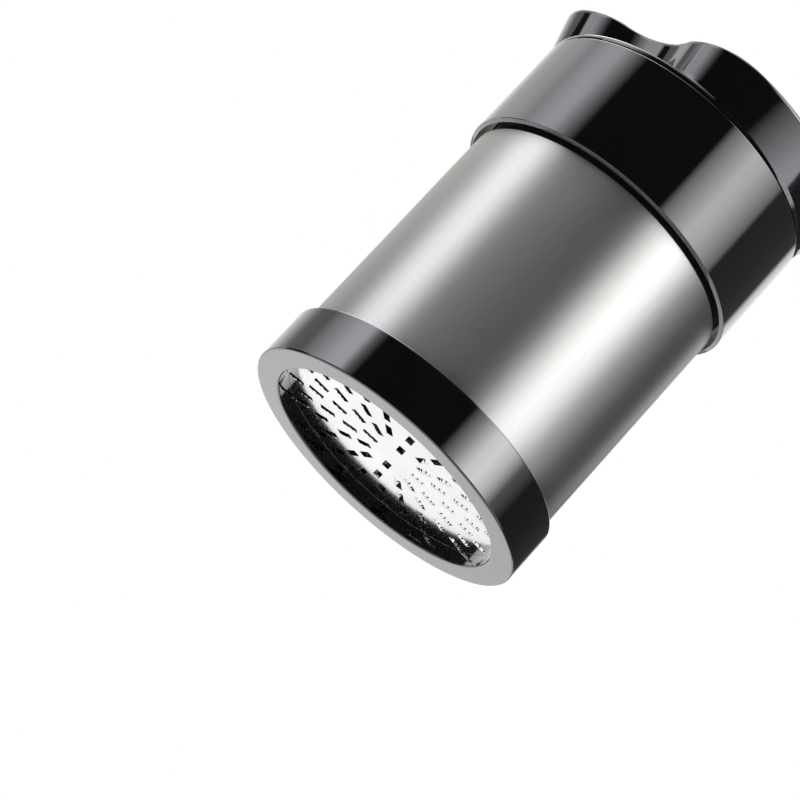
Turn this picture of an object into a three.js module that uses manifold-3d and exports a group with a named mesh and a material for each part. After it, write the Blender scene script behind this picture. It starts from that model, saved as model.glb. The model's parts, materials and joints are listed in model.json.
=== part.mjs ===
// A hand-turned nutmeg grater: a steel cylinder on a black base ring that holds a flat grater disc,
// under a black turning head with a removable knob.
// Millimetres, +Z up. The origin is the centre of the base ring's lower face, on which the grater stands.
// +Y points towards the nutmeg pocket. The knob's finger scoops face nearly +X and -X.

import * as THREE from 'three';
import { mergeVertices } from 'three/addons/utils/BufferGeometryUtils.js';
import Module from 'manifold-3d';

const wasm = await Module();
wasm.setup();

// Facets round a full turn
const wideFacets = 60; // outer walls
const innerFacets = 40; // wide pieces inside
const midFacets = 24;
const smallFacets = 12;

// Clearances
const seatGap = 0.3; // between pieces that fit into each other and stay together
const runningGap = 0.5; // between the turning head and what stands still
const stemGap = 0.15; // between the pusher's stem and its bush
const grooveGap = 0.1; // round a ring in its groove, and round a bush or stem in its socket
const screwGap = 0.2; // round a screw's shank
const cutMargin = 1; // how far a cutting tool reaches past what it cuts

// The outside: the base ring and the turning collar are flush, and the steel between them is set in
const bodyRadius = 38;
const sleeveInset = 2;

// Base ring, with the grater disc in its mouth
const ringHeight = 13.5;
const ringBevel = 0.7;
const ringFaceWidth = 6.4; // from the mouth out to the ring's edge
const mouthBevel = 0.5;
const discRecess = 3.8; // from the base face up to the disc
const discThickness = 0.5;
const discSeatWidth = 1.7;
const retainerHeight = 2.5;
const sealHeight = 2;
const sealDepth = 0.8;
const sealDrop = 3.1; // from the ring's top down to the base seal's middle

// Steel sleeve and the liner inside it
const sleeveWall = 0.8;
const linerWall = 2;
const linerFlangeLip = 0.4; // how far the liner's flange stands out past the sleeve
const linerFlangeThickness = 2.3;
const glideThickness = 1.7;

// Turning collar
const collarBottom = 76.9;
const collarHeight = 28.4;
const collarRunningGap = 1; // the dark gap between the sleeve's top and the collar
const collarLipGap = 0.9; // how far the collar's bore stands off the sleeve's radius
const collarLipBevel = 0.45; // how much higher the collar's lower lip is at its outside
const neckReach = 3.9; // from the collar's lower lip up to the retaining ring
const collarTopBevel = 0.3;
const collarUpperWall = 1.7;
const webThickness = 3;
const webLedge = 4.4; // from the web's mouth out to its screws
const retainingRingHeight = 2.6;
const retainingGrooveDepth = 0.3;
const retainingRingOpening = 20; // degrees left open in the snap ring
const ribCount = 3;
const ribWidth = 5;
const ribDepth = 2.4;
const ribHeight = 7;

// Nutmeg carrier, which hangs from the collar and sweeps the nutmeg round over the disc
const carrierFloorGap = 0.7; // above the disc
const carrierFloor = 3;
const carrierWall = 1.6;
const pocketRadius = 14.6;
const pocketWall = 1.4;
const pocketLip = 1.1; // left between the pocket and the carrier's lower edge
const bossWall = 1.75;
const bossInset = 4; // from the carrier's outside in to its bosses
const bossLength = 14;
const bossAngles = [20, 160, 235, 305];

// Screws: M2.5 pan heads
const shankRadius = 1.25;
const headRadius = 2.6;
const headHeight = 1.8;
const carrierScrewLength = 11;
const knobScrewLength = 9;
const driveSlotWidth = 0.8;
const driveSlotDepth = 0.8;

// Lid plate under the knob
const plateThickness = 3;
const skirtGap = 1.1; // above the collar's web
const skirtWall = 2.9;
const sealRingRadius = 0.8;
const guideWall = 1.8;
const guideFloor = 4;
const bushWall = 1.05;
const bushFlange = 1.4;
const knobScrewInset = 10; // from the plate's edge in to the knob's screws
const knobScrewAngles = [67.4, 112.6, 247.4, 292.6];

// Knob
const knobLift = 0.3; // above the collar's top rim
const knobFootInset = 0.2; // from the collar's outside
const knobFlare = 3.2; // how far the rim stands out past the foot
const knobRimHeight = 12.3; // from the knob's foot up to its rim
const knobCrown = 1.2;
const knobRimRound = 0.8;
const knobWall = 2.2;
const knobBossWall = 1.95;
const scoopTurn = 8; // degrees from +X to the middle of the first finger scoop
const scoopHalfSpan = 52; // degrees from a scoop's middle to where the round wall starts
const scoopFloor = 1.2; // above the knob's foot
const scoopReach = 4.2; // from the collar's outside out to a scoop's centre
const lobeInset = 15.5; // from the knob's foot in to the centres of its rounded corners

// Spring-loaded pusher
const stemRadius = 3;
const pusherTravel = 22;
const pusherGap = 1; // round the pusher in its pocket
const pusherHeight = 4.4;
const pusherFloor = 1.1; // under the stem, inside the pusher's head
const clawPlateThickness = 0.8;
const clawPlateInset = 0.4; // from the pusher's edge
const clawLength = 3;
const clawWidth = 2.6;
const clawCount = 6;
const clawInset = 3.8; // from the claw plate's edge
const clawTipGap = 1.5; // above the disc
const clipWidth = 1.8;
const clipGap = 0.4; // round the clip in the guide
const clipThickness = 1;
const stemEnd = 1.3; // above the clip
const stemHeadroom = 0.9; // left above the stem when the pusher is all the way up
const pusherScrewHead = 1.2;
const pusherScrewLength = 7;
const springGap = 1.4; // between the spring and the stem
const springWire = 1.2;
const springTurns = 12;
const springEndGap = 0.2;

// Grater disc: rings of slots, each a short radial slit with a raised cutting hood on the nutmeg's side
const slotLength = 4.2;
const slotWidth = 1.6;
const hoodHeight = 0.5;
const patternTurn = 56; // degrees from +X to the pattern's first radius
const slotRings = [ // each ring's middle is so far in from the edge of the mouth
  { inset: 24.3, count: 4, turn: 0 },
  { inset: 21.5, count: 4, turn: 45 },
  { inset: 18.4, count: 8, turn: 22.5 },
  { inset: 14.8, count: 8, turn: 0 },
  { inset: 11.7, count: 8, turn: 22.5 },
  { inset: 8.2, count: 8, turn: -7.5 },
  { inset: 8.2, count: 8, turn: 7.5 },
  { inset: 4.9, count: 8, turn: 22.5 },
  { inset: 2.4, count: 8, turn: -11.5 },
  { inset: 2.4, count: 8, turn: 11.5 },
];

// Radii worked out from the values above
const mouthRadius = bodyRadius - ringFaceWidth;
const discRadius = mouthRadius + discSeatWidth;
const sleeveRadius = bodyRadius - sleeveInset;
const socketRadius = sleeveRadius + seatGap;
const linerRadius = sleeveRadius - sleeveWall - seatGap;
const linerBore = linerRadius - linerWall;
const linerFlangeRadius = sleeveRadius + linerFlangeLip;
const collarLipRadius = sleeveRadius + collarLipGap;
const collarBore = bodyRadius - collarUpperWall;
const grooveRadius = collarLipRadius + retainingGrooveDepth;
const carrierLipRadius = mouthRadius - runningGap;
const carrierRadius = linerBore - runningGap;
const pocketOffset = carrierLipRadius - pocketLip - pocketRadius;
const bossRadius = shankRadius + screwGap + bossWall;
const bossCircle = carrierRadius - bossInset;
const webMouthRadius = bossCircle - webLedge;
const plateRadius = collarBore - seatGap;
const knobScrewCircle = plateRadius - knobScrewInset;
const knobFootRadius = bodyRadius - knobFootInset;
const knobBossRadius = shankRadius + screwGap + knobBossWall;
const lobeCircle = knobFootRadius - lobeInset;
const scoopCircle = bodyRadius + scoopReach;
const bushBore = stemRadius + stemGap;
const bushRadius = bushBore + bushWall;
const clipRadius = stemRadius + clipWidth;
const counterboreRadius = clipRadius + clipGap;
const guideRadius = counterboreRadius + guideWall;
const springRadius = stemRadius + springGap + springWire / 2;
const pusherRadius = pocketRadius - pusherGap;
const clawPlateRadius = pusherRadius - clawPlateInset;
const clawCircle = clawPlateRadius - clawInset;

// Heights worked out from the values above
const discTop = discRecess + discThickness;
const retainerTop = discTop + retainerHeight;
const socketFloor = retainerTop + seatGap;
const housingBottom = socketFloor + seatGap;
const sealMiddle = ringHeight - sealDrop;
const sleeveTop = collarBottom - collarRunningGap;
const retainingBottom = collarBottom + neckReach;
const retainingTop = retainingBottom + retainingRingHeight;
const linerFlangeBottom = retainingTop + seatGap;
const linerTop = linerFlangeBottom + linerFlangeThickness;
const glideTop = linerTop + glideThickness;
const webBottom = glideTop + seatGap;
const webTop = webBottom + webThickness;
const collarTop = collarBottom + collarHeight;
const carrierBottom = discTop + carrierFloorGap;
const carrierLipTop = retainerTop + runningGap;
const plateTop = collarTop + seatGap;
const plateBottom = plateTop - plateThickness;
const skirtBottom = webTop + skirtGap;
const knobFoot = collarTop + knobLift;
const knobRim = knobFoot + knobRimHeight;
const stemTop = knobRim - knobWall - stemHeadroom - pusherTravel;
const clipBottom = stemTop - stemEnd - clipThickness;
const bushTop = clipBottom - seatGap;
const guideBottom = bushTop - guideFloor;
const bushBottom = guideBottom - bushFlange;
const clawTip = discTop + clawTipGap;
const clawPlateBottom = clawTip + clawLength;
const pusherBottom = clawPlateBottom + clawPlateThickness;
const pusherTop = pusherBottom + pusherHeight;
const stemBottom = pusherBottom + pusherFloor;

// Materials, with the colours, roughness and metalness of the real surfaces
const material = (color, roughness, metalness) =>
  new THREE.MeshStandardMaterial({ color, roughness, metalness });
const materials = {
  blackPlastic: material(0x17181a, 0.12, 0),
  darkPlastic: material(0x2b2c2e, 0.5, 0),
  palePlastic: material(0xdedcd5, 0.45, 0),
  brushedSteel: material(0xb9b7b4, 0.32, 1),
  brightSteel: material(0xd6d6d6, 0.16, 1),
  springSteel: material(0x9c9da0, 0.28, 1),
  brass: material(0xb08d4a, 0.3, 1),
  rubber: material(0x232323, 0.75, 0),
};

const radians = THREE.MathUtils.degToRad;
const onCircle = (radius, degrees) => [
  radius * Math.cos(radians(degrees)),
  radius * Math.sin(radians(degrees)),
];

// A closed geometry as a solid that booleans can join and cut
function solid(geometry) {
  const bare = geometry.clone();
  bare.deleteAttribute('normal');
  bare.deleteAttribute('uv');
  const merged = mergeVertices(bare, 1e-4);
  const index = merged.index.array;
  const corners = [];
  for (let i = 0; i < index.length; i += 3) {
    const [a, b, c] = index.slice(i, i + 3);
    if (a !== b && b !== c && c !== a) {
      corners.push(a, b, c);
    }
  }
  return new wasm.Manifold(new wasm.Mesh({
    numProp: 3,
    vertProperties: new Float32Array(merged.attributes.position.array),
    triVerts: new Uint32Array(corners),
  }));
}

function geometryOf(body) {
  const mesh = body.getMesh();
  const geometry = new THREE.BufferGeometry();
  geometry.setAttribute('position', new THREE.BufferAttribute(new Float32Array(mesh.vertProperties), 3));
  geometry.setIndex(new THREE.BufferAttribute(new Uint32Array(mesh.triVerts), 1));
  geometry.computeVertexNormals();
  return geometry;
}

// A profile of [radius, height] points, anticlockwise, turned round the Z axis.
// A profile that starts and ends on the axis is a disc-like body, any other one is closed to a ring.
function turned(profile, facets = wideFacets) {
  const closed = profile[0][0] > 0 ? [...profile, profile[0]] : profile;
  const points = closed.map(([radius, height]) => new THREE.Vector2(radius, height));
  return new THREE.LatheGeometry(points, facets).rotateX(Math.PI / 2);
}

const tube = (inner, outer, bottom, top, facets) =>
  turned([[inner, bottom], [outer, bottom], [outer, top], [inner, top]], facets);

const rod = (radius, bottom, top, facets = smallFacets) =>
  turned([[0, bottom], [radius, bottom], [radius, top], [0, top]], facets);

const block = (width, depth, height, x, y, z) =>
  new THREE.BoxGeometry(width, depth, height).translate(x, y, z);

const at = (geometry, x, y) => geometry.clone().translate(x, y, 0);

const joined = (bodies) => bodies.reduce((whole, body) => whole.add(body));
const cut = (body, tools) => tools.reduce((whole, tool) => whole.subtract(tool), body);

function piece(name, geometry, look) {
  const mesh = new THREE.Mesh(geometry, look);
  mesh.name = name;
  return mesh;
}

// A round arc of profile points about a centre, from one angle to another, in degrees
function arc(centreRadius, centreHeight, width, height, from, to, steps) {
  const points = [];
  for (let i = 0; i <= steps; i += 1) {
    const angle = radians(from + ((to - from) * i) / steps);
    points.push([centreRadius + width * Math.cos(angle), centreHeight + height * Math.sin(angle)]);
  }
  return points;
}

function baseRing() {
  const groove = socketRadius + sealDepth;
  return turned([
    [mouthRadius + mouthBevel, 0],
    [bodyRadius - ringBevel, 0],
    [bodyRadius, ringBevel],
    [bodyRadius, ringHeight - ringBevel / 2],
    [bodyRadius - ringBevel / 2, ringHeight],
    [socketRadius, ringHeight],
    [socketRadius, sealMiddle + sealHeight / 2],
    [groove, sealMiddle + sealHeight / 2],
    [groove, sealMiddle - sealHeight / 2],
    [socketRadius, sealMiddle - sealHeight / 2],
    [socketRadius, socketFloor],
    [discRadius + seatGap, socketFloor],
    [discRadius + seatGap, discRecess],
    [mouthRadius, discRecess],
    [mouthRadius, mouthBevel],
  ]);
}

function baseSeal() {
  const inner = sleeveRadius + grooveGap;
  const outer = socketRadius + sealDepth - grooveGap;
  const half = sealHeight / 2 - grooveGap;
  return tube(inner, outer, sealMiddle - half, sealMiddle + half);
}

// One slot's tools, lying along +X at its ring's radius
function slotTools(radius) {
  const slit = block(
    slotLength, slotWidth, discThickness + hoodHeight + 2 * cutMargin,
    radius, 0, discRecess + (discThickness + hoodHeight) / 2,
  );
  const hood = new THREE.Shape([
    new THREE.Vector2(slotWidth / 2, 0),
    new THREE.Vector2(slotWidth, 0),
    new THREE.Vector2(slotWidth / 2, hoodHeight),
  ]);
  const wedge = new THREE.ExtrudeGeometry(hood, { depth: slotLength, bevelEnabled: false })
    .rotateX(Math.PI / 2)
    .rotateZ(Math.PI / 2)
    .translate(radius - slotLength / 2, 0, discTop - discThickness / 2);
  return { slit, wedge };
}

function graterDisc() {
  const slits = [];
  const hoods = [];
  for (const ring of slotRings) {
    const { slit, wedge } = slotTools(mouthRadius - ring.inset);
    for (let i = 0; i < ring.count; i += 1) {
      const turn = radians(patternTurn + ring.turn + (360 * i) / ring.count);
      slits.push(solid(slit.clone().rotateZ(turn)));
      hoods.push(solid(wedge.clone().rotateZ(turn)));
    }
  }
  const disc = solid(rod(discRadius, discRecess, discTop, wideFacets));
  return geometryOf(cut(joined([disc, ...hoods]), slits));
}

const discRetainer = () => tube(mouthRadius, discRadius, discTop, retainerTop, innerFacets);

const sleeve = () => tube(sleeveRadius - sleeveWall, sleeveRadius, housingBottom, sleeveTop);

const glideRing = () =>
  tube(linerBore + runningGap, linerFlangeRadius, linerTop, glideTop, innerFacets);

function liner() {
  return turned([
    [linerBore, housingBottom],
    [linerRadius, housingBottom],
    [linerRadius, linerFlangeBottom],
    [linerFlangeRadius, linerFlangeBottom],
    [linerFlangeRadius, linerTop],
    [linerBore, linerTop],
  ], innerFacets);
}

// The places of the screws, round the collar's web and round the lid plate
const carrierScrewPlaces = bossAngles.map((angle) => onCircle(bossCircle, angle));
const knobScrewPlaces = knobScrewAngles.map((angle) => onCircle(knobScrewCircle, angle));

// The ribs inside the collar that drive the lid's skirt, or with a gap the slots that they fill
function driveRibs(gap, bottom, top) {
  const inner = collarBore - ribDepth - gap;
  const outer = collarBore + collarUpperWall / 2;
  const rib = block(
    outer - inner, ribWidth + 2 * gap, top - bottom,
    (outer + inner) / 2, 0, (top + bottom) / 2,
  );
  const turns = [];
  for (let i = 0; i < ribCount; i += 1) {
    turns.push(solid(rib.clone().rotateZ(radians(90 + (360 * i) / ribCount))));
  }
  return turns;
}

function collar() {
  const wall = solid(turned([
    [collarLipRadius, collarBottom],
    [bodyRadius, collarBottom + collarLipBevel],
    [bodyRadius, collarTop - collarTopBevel],
    [bodyRadius - collarTopBevel, collarTop],
    [collarBore, collarTop],
    [collarBore, webTop],
    [webMouthRadius, webTop],
    [webMouthRadius, webBottom],
    [collarLipRadius, webBottom],
    [collarLipRadius, retainingTop + grooveGap],
    [grooveRadius, retainingTop + grooveGap],
    [grooveRadius, retainingBottom - grooveGap],
    [collarLipRadius, retainingBottom - grooveGap],
  ]));
  const through = [webBottom - cutMargin, webTop + cutMargin];
  const tools = [
    solid(at(rod(pocketRadius, ...through, innerFacets), 0, pocketOffset)),
    ...carrierScrewPlaces.map(([x, y]) => solid(at(rod(shankRadius + screwGap, ...through), x, y))),
  ];
  const ribs = driveRibs(0, webTop - webThickness / 2, webTop + ribHeight);
  return geometryOf(joined([cut(wall, tools), ...ribs]));
}

function retainingRing() {
  const ring = solid(tube(linerRadius + seatGap, grooveRadius - grooveGap, retainingBottom, retainingTop));
  const width = 2 * grooveRadius * Math.sin(radians(retainingRingOpening / 2));
  const opening = solid(block(
    grooveRadius, width, retainingRingHeight + 2 * cutMargin,
    grooveRadius, 0, (retainingTop + retainingBottom) / 2,
  ));
  return geometryOf(cut(ring, [opening]));
}

function carrier() {
  const outline = [
    [0, carrierBottom],
    [carrierLipRadius, carrierBottom],
    [carrierLipRadius, carrierLipTop],
    [carrierRadius, carrierLipTop],
    [carrierRadius, webBottom],
  ];
  const envelope = solid(turned([...outline, [0, webBottom]], innerFacets));
  const bore = carrierRadius - carrierWall;
  const cup = solid(turned([
    ...outline,
    [bore, webBottom],
    [bore, carrierBottom + carrierFloor],
    [0, carrierBottom + carrierFloor],
  ], innerFacets));
  const pocketTube = solid(at(
    rod(pocketRadius + pocketWall, carrierBottom, webBottom, innerFacets), 0, pocketOffset,
  ));
  const bosses = carrierScrewPlaces.map(([x, y]) =>
    solid(at(rod(bossRadius, webBottom - bossLength, webBottom), x, y)));
  const added = joined([pocketTube, ...bosses]).intersect(envelope);
  const pocket = solid(at(
    rod(pocketRadius, carrierBottom - cutMargin, webBottom + cutMargin, innerFacets), 0, pocketOffset,
  ));
  const holes = carrierScrewPlaces.map(([x, y]) => solid(at(
    rod(shankRadius + screwGap, webTop - carrierScrewLength - cutMargin, webBottom + cutMargin), x, y,
  )));
  return geometryOf(cut(cup.add(added), [pocket, ...holes]));
}

// A pan-head screw with its head's seat at height 0 and its shank below, with a cross slot
function screw(length, height = headHeight) {
  const body = solid(turned([
    [0, -length],
    [shankRadius, -length],
    [shankRadius, 0],
    [headRadius, 0],
    [headRadius, height * 0.6],
    [headRadius * 0.72, height],
    [0, height],
  ], smallFacets));
  const slotTop = height + cutMargin;
  const slotHeight = driveSlotDepth + cutMargin;
  const slots = [[headRadius * 1.3, driveSlotWidth], [driveSlotWidth, headRadius * 1.3]].map(([w, d]) =>
    solid(block(w, d, slotHeight, 0, 0, slotTop - slotHeight / 2)));
  return geometryOf(cut(body, slots));
}

function lidPlate() {
  const groove = plateRadius - 2 * sealRingRadius - grooveGap;
  const skirtBore = plateRadius - skirtWall;
  const grooveMiddle = (plateTop + plateBottom) / 2;
  const grooveHalf = sealRingRadius + grooveGap;
  const plate = solid(turned([
    [0, plateBottom],
    [skirtBore, plateBottom],
    [skirtBore, skirtBottom],
    [plateRadius, skirtBottom],
    [plateRadius, grooveMiddle - grooveHalf],
    [groove, grooveMiddle - grooveHalf],
    [groove, grooveMiddle + grooveHalf],
    [plateRadius, grooveMiddle + grooveHalf],
    [plateRadius, plateTop],
    [0, plateTop],
  ], innerFacets));
  const guide = solid(at(rod(guideRadius, guideBottom, plateTop, midFacets), 0, pocketOffset));
  const tools = [
    solid(at(rod(counterboreRadius, bushTop, plateTop + cutMargin, midFacets), 0, pocketOffset)),
    solid(at(
      rod(bushRadius + grooveGap, guideBottom - cutMargin, bushTop + cutMargin, midFacets), 0, pocketOffset,
    )),
    ...knobScrewPlaces.map(([x, y]) =>
      solid(at(rod(shankRadius + screwGap, plateBottom - cutMargin, plateTop + cutMargin), x, y))),
    ...driveRibs(seatGap, skirtBottom - cutMargin, webTop + ribHeight + seatGap),
  ];
  return geometryOf(cut(plate.add(guide), tools));
}

// The lid's round seal ring, in the groove of the lid plate
function lidSeal() {
  const centre = collarBore - grooveGap - sealRingRadius;
  const middle = (plateTop + plateBottom) / 2;
  const section = arc(centre, middle, sealRingRadius, sealRingRadius, 0, 300, 5);
  return turned(section, innerFacets);
}

function guideBush() {
  return at(turned([
    [bushBore, bushBottom],
    [guideRadius, bushBottom],
    [guideRadius, guideBottom],
    [bushRadius, guideBottom],
    [bushRadius, bushTop],
    [bushBore, bushTop],
  ], midFacets), 0, pocketOffset);
}

// Seen from above the knob is a disc with two scoops, and rounded corners beside them.
// Its foot's radius at an angle in degrees, inset by a wall.
function knobPlan(degrees, inset) {
  const fromScoop = Math.abs(((((degrees - scoopTurn) % 180) + 270) % 180) - 90);
  if (fromScoop >= scoopHalfSpan) {
    return knobFootRadius - inset;
  }
  // The corner's circle and the scoop's circle touch on the line between their centres
  const [lobeX, lobeY] = onCircle(lobeCircle, scoopHalfSpan);
  const scoopRadius = Math.hypot(scoopCircle - lobeX, lobeY) - lobeInset + inset;
  const slope = Math.atan2(lobeY, scoopCircle - lobeX);
  const touch = THREE.MathUtils.radToDeg(
    Math.atan2(scoopRadius * Math.sin(slope), scoopCircle - scoopRadius * Math.cos(slope)),
  );
  if (fromScoop >= touch) {
    const [along, across] = onCircle(lobeCircle, scoopHalfSpan - fromScoop);
    return along + Math.sqrt((lobeInset - inset) ** 2 - across ** 2);
  }
  const [along, across] = onCircle(scoopCircle, fromScoop);
  return along - Math.sqrt(scoopRadius ** 2 - across ** 2);
}

// A closed body over the knob's plan. Each level has its height, its outset by the wall's flare,
// its inset by the rim's round, and its scale.
function planBody(inset, levels) {
  const positions = [];
  for (const { height, flare = 0, round = 0, scale = 1 } of levels) {
    for (let i = 0; i < wideFacets; i += 1) {
      const degrees = (360 * i) / wideFacets;
      const [x, y] = onCircle((knobPlan(degrees, inset) + flare - round) * scale, degrees);
      positions.push(x, y, height);
    }
  }
  const last = levels.length - 1;
  const bottomMiddle = positions.length / 3;
  positions.push(0, 0, levels[0].height, 0, 0, levels[last].height);
  const index = [];
  for (let i = 0; i < wideFacets; i += 1) {
    const next = (i + 1) % wideFacets;
    index.push(bottomMiddle, next, i);
    index.push(bottomMiddle + 1, last * wideFacets + i, last * wideFacets + next);
    for (let level = 0; level < last; level += 1) {
      const low = level * wideFacets;
      const high = low + wideFacets;
      index.push(low + i, low + next, high + next, low + i, high + next, high + i);
    }
  }
  const geometry = new THREE.BufferGeometry();
  geometry.setAttribute('position', new THREE.Float32BufferAttribute(positions, 3));
  geometry.setIndex(index);
  return geometry;
}

// How far the flared wall stands out past the foot, at a share of the way up
const flareAt = (share) => knobFlare * share;

// The knob's outside: a flared wall up to a rounded rim, and a low crown
function knobOutside() {
  const wallHeight = knobRimHeight - knobRimRound;
  const wall = [0, 0.5, 1].map((share) => (
    { height: knobFoot + wallHeight * share, flare: flareAt(share) }
  ));
  const rim = [30, 60, 90].map((degrees) => ({
    height: knobRim - knobRimRound * (1 - Math.sin(radians(degrees))),
    flare: knobFlare,
    round: knobRimRound * (1 - Math.cos(radians(degrees))),
  }));
  const crown = [0.66, 0.33].map((scale) => ({
    height: knobRim + knobCrown * (1 - scale ** 2), flare: knobFlare, round: knobRimRound, scale,
  }));
  return planBody(0, [...wall, ...rim, ...crown]);
}

// The hollow inside it, one wall thickness in
function knobInside() {
  return planBody(knobWall, [
    { height: knobFoot - cutMargin },
    { height: knobFoot },
    { height: knobFoot + knobRimHeight * 0.4, flare: flareAt(0.4) },
    { height: knobRim - knobWall - knobRimRound / 2, flare: flareAt(0.8) },
    { height: knobRim - knobWall, flare: flareAt(0.8), round: knobRimRound / 2 },
  ]);
}

function knob() {
  const foot = solid(rod(knobFootRadius, knobFoot, knobFoot + scoopFloor, wideFacets));
  const outer = foot.add(solid(knobOutside()));
  const hollow = solid(knobInside());
  const bossTop = knobFoot + knobRimHeight - knobWall;
  const bosses = knobScrewPlaces.map(([x, y]) => solid(at(rod(knobBossRadius, plateTop, bossTop), x, y)));
  const holes = knobScrewPlaces.map(([x, y]) => solid(at(
    rod(shankRadius + screwGap, plateTop - cutMargin, plateBottom + knobScrewLength + cutMargin), x, y,
  )));
  const inside = joined(bosses).intersect(outer);
  return geometryOf(cut(outer.subtract(hollow).add(inside), holes));
}

function stem() {
  const shaft = solid(rod(stemRadius, stemBottom, stemTop, midFacets));
  const thread = solid(rod(
    shankRadius + screwGap, stemBottom - cutMargin, clawPlateBottom + pusherScrewLength + cutMargin,
  ));
  return at(geometryOf(cut(shaft, [thread])), 0, pocketOffset);
}

function pusherHead() {
  const socket = stemRadius + grooveGap;
  const body = solid(turned([
    [0, pusherBottom],
    [pusherRadius, pusherBottom],
    [pusherRadius, pusherBottom + pusherHeight * 0.45],
    [springRadius + springWire, pusherTop],
    [0, pusherTop],
  ], midFacets));
  const tools = [
    solid(rod(socket, stemBottom, pusherTop + cutMargin, midFacets)),
    solid(rod(shankRadius + screwGap, pusherBottom - cutMargin, pusherTop)),
  ];
  return at(geometryOf(cut(body, tools)), 0, pocketOffset);
}

// The claws that bite into the nutmeg, bent down from the rim of their plate
function clawPlate() {
  const plate = solid(rod(clawPlateRadius, clawPlateBottom, pusherBottom, midFacets));
  const outline = new THREE.Shape([
    new THREE.Vector2(-clawWidth / 2, 0),
    new THREE.Vector2(0, -clawLength),
    new THREE.Vector2(clawWidth / 2, 0),
    new THREE.Vector2(clawWidth / 2, clawPlateThickness / 2),
    new THREE.Vector2(-clawWidth / 2, clawPlateThickness / 2),
  ]);
  const claw = new THREE.ExtrudeGeometry(outline, { depth: clawPlateThickness, bevelEnabled: false })
    .rotateX(Math.PI / 2)
    .translate(0, clawCircle, clawPlateBottom);
  const claws = [];
  for (let i = 0; i < clawCount; i += 1) {
    claws.push(solid(claw.clone().rotateZ(radians((360 * i) / clawCount))));
  }
  const hole = solid(rod(shankRadius + screwGap, clawPlateBottom - cutMargin, pusherBottom + cutMargin));
  return at(geometryOf(cut(joined([plate, ...claws]), [hole])), 0, pocketOffset);
}

function stemClip() {
  const ring = tube(stemRadius + grooveGap, clipRadius, clipBottom, clipBottom + clipThickness, midFacets);
  return at(ring, 0, pocketOffset);
}

// The pressure spring: one unbroken wire wound round the stem, from the pusher up to the bush
function pressureSpring() {
  const bottom = pusherTop + springEndGap + springWire / 2;
  const top = bushBottom - springEndGap - springWire / 2;
  const stepsPerTurn = 8;
  const sides = 5;
  const steps = springTurns * stepsPerTurn;
  const centre = (turns) => new THREE.Vector3(
    springRadius * Math.cos(2 * Math.PI * turns),
    springRadius * Math.sin(2 * Math.PI * turns) + pocketOffset,
    bottom + ((top - bottom) * turns) / springTurns,
  );
  const positions = [];
  for (let i = 0; i <= steps; i += 1) {
    const turns = i / stepsPerTurn;
    const middle = centre(turns);
    const outward = new THREE.Vector3(Math.cos(2 * Math.PI * turns), Math.sin(2 * Math.PI * turns), 0);
    for (let j = 0; j < sides; j += 1) {
      const angle = (2 * Math.PI * j) / sides;
      const point = middle.clone()
        .addScaledVector(outward, (springWire / 2) * Math.cos(angle));
      point.z += (springWire / 2) * Math.sin(angle);
      positions.push(...point.toArray());
    }
  }
  const index = [];
  for (let i = 0; i < steps; i += 1) {
    for (let j = 0; j < sides; j += 1) {
      const a = i * sides + j;
      const b = i * sides + ((j + 1) % sides);
      index.push(a, a + sides, b, b, a + sides, b + sides);
    }
  }
  for (let j = 1; j < sides - 1; j += 1) {
    const last = steps * sides;
    index.push(0, j, j + 1, last, last + j + 1, last + j);
  }
  const geometry = new THREE.BufferGeometry();
  geometry.setAttribute('position', new THREE.Float32BufferAttribute(positions, 3));
  geometry.setIndex(index);
  geometry.computeVertexNormals();
  const leastGap = (top - bottom) / springTurns - springWire;
  console.log(`pressure spring: least gap between turns ${leastGap.toFixed(2)} mm`);
  return geometry;
}

const grater = new THREE.Group();

const base = new THREE.Group();
base.add(
  piece('base_ring', baseRing(), materials.blackPlastic),
  piece('grater_disc', graterDisc(), materials.brightSteel),
  piece('disc_retainer', discRetainer(), materials.darkPlastic),
  piece('base_seal', baseSeal(), materials.rubber),
);

const housing = new THREE.Group();
housing.add(
  piece('steel_sleeve', sleeve(), materials.brushedSteel),
  piece('inner_liner', liner(), materials.darkPlastic),
  piece('glide_ring', glideRing(), materials.palePlastic),
);

const turningHead = new THREE.Group();
turningHead.add(
  piece('turning_collar', collar(), materials.blackPlastic),
  piece('retaining_ring', retainingRing(), materials.palePlastic),
  piece('nutmeg_carrier', carrier(), materials.darkPlastic),
);
carrierScrewPlaces.forEach(([x, y], i) => {
  const mesh = piece(`carrier_screw_${i + 1}`, screw(carrierScrewLength), materials.springSteel);
  mesh.position.set(x, y, webTop);
  turningHead.add(mesh);
});

const lid = new THREE.Group();
lid.add(
  piece('knob', knob(), materials.blackPlastic),
  piece('lid_plate', lidPlate(), materials.darkPlastic),
  piece('lid_seal', lidSeal(), materials.rubber),
  piece('guide_bush', guideBush(), materials.brass),
  piece('pressure_spring', pressureSpring(), materials.springSteel),
);
knobScrewPlaces.forEach(([x, y], i) => {
  const mesh = piece(`knob_screw_${i + 1}`, screw(knobScrewLength), materials.springSteel);
  mesh.rotation.x = Math.PI;
  mesh.position.set(x, y, plateBottom);
  lid.add(mesh);
});

const pusher = new THREE.Group();
const pusherScrew = piece('pusher_screw', screw(pusherScrewLength, pusherScrewHead), materials.springSteel);
pusherScrew.rotation.x = Math.PI;
pusherScrew.position.set(0, pocketOffset, clawPlateBottom);
pusher.add(
  piece('pusher_stem', stem(), materials.springSteel),
  piece('pusher_head', pusherHead(), materials.palePlastic),
  piece('claw_plate', clawPlate(), materials.brightSteel),
  piece('stem_clip', stemClip(), materials.springSteel),
  pusherScrew,
);

grater.add(base, housing, turningHead, lid, pusher);

export default grater;
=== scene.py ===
"""The looks of a hand-turned nutmeg grater: black gloss ring, brushed steel body, black turning head."""

import json
import math

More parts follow.
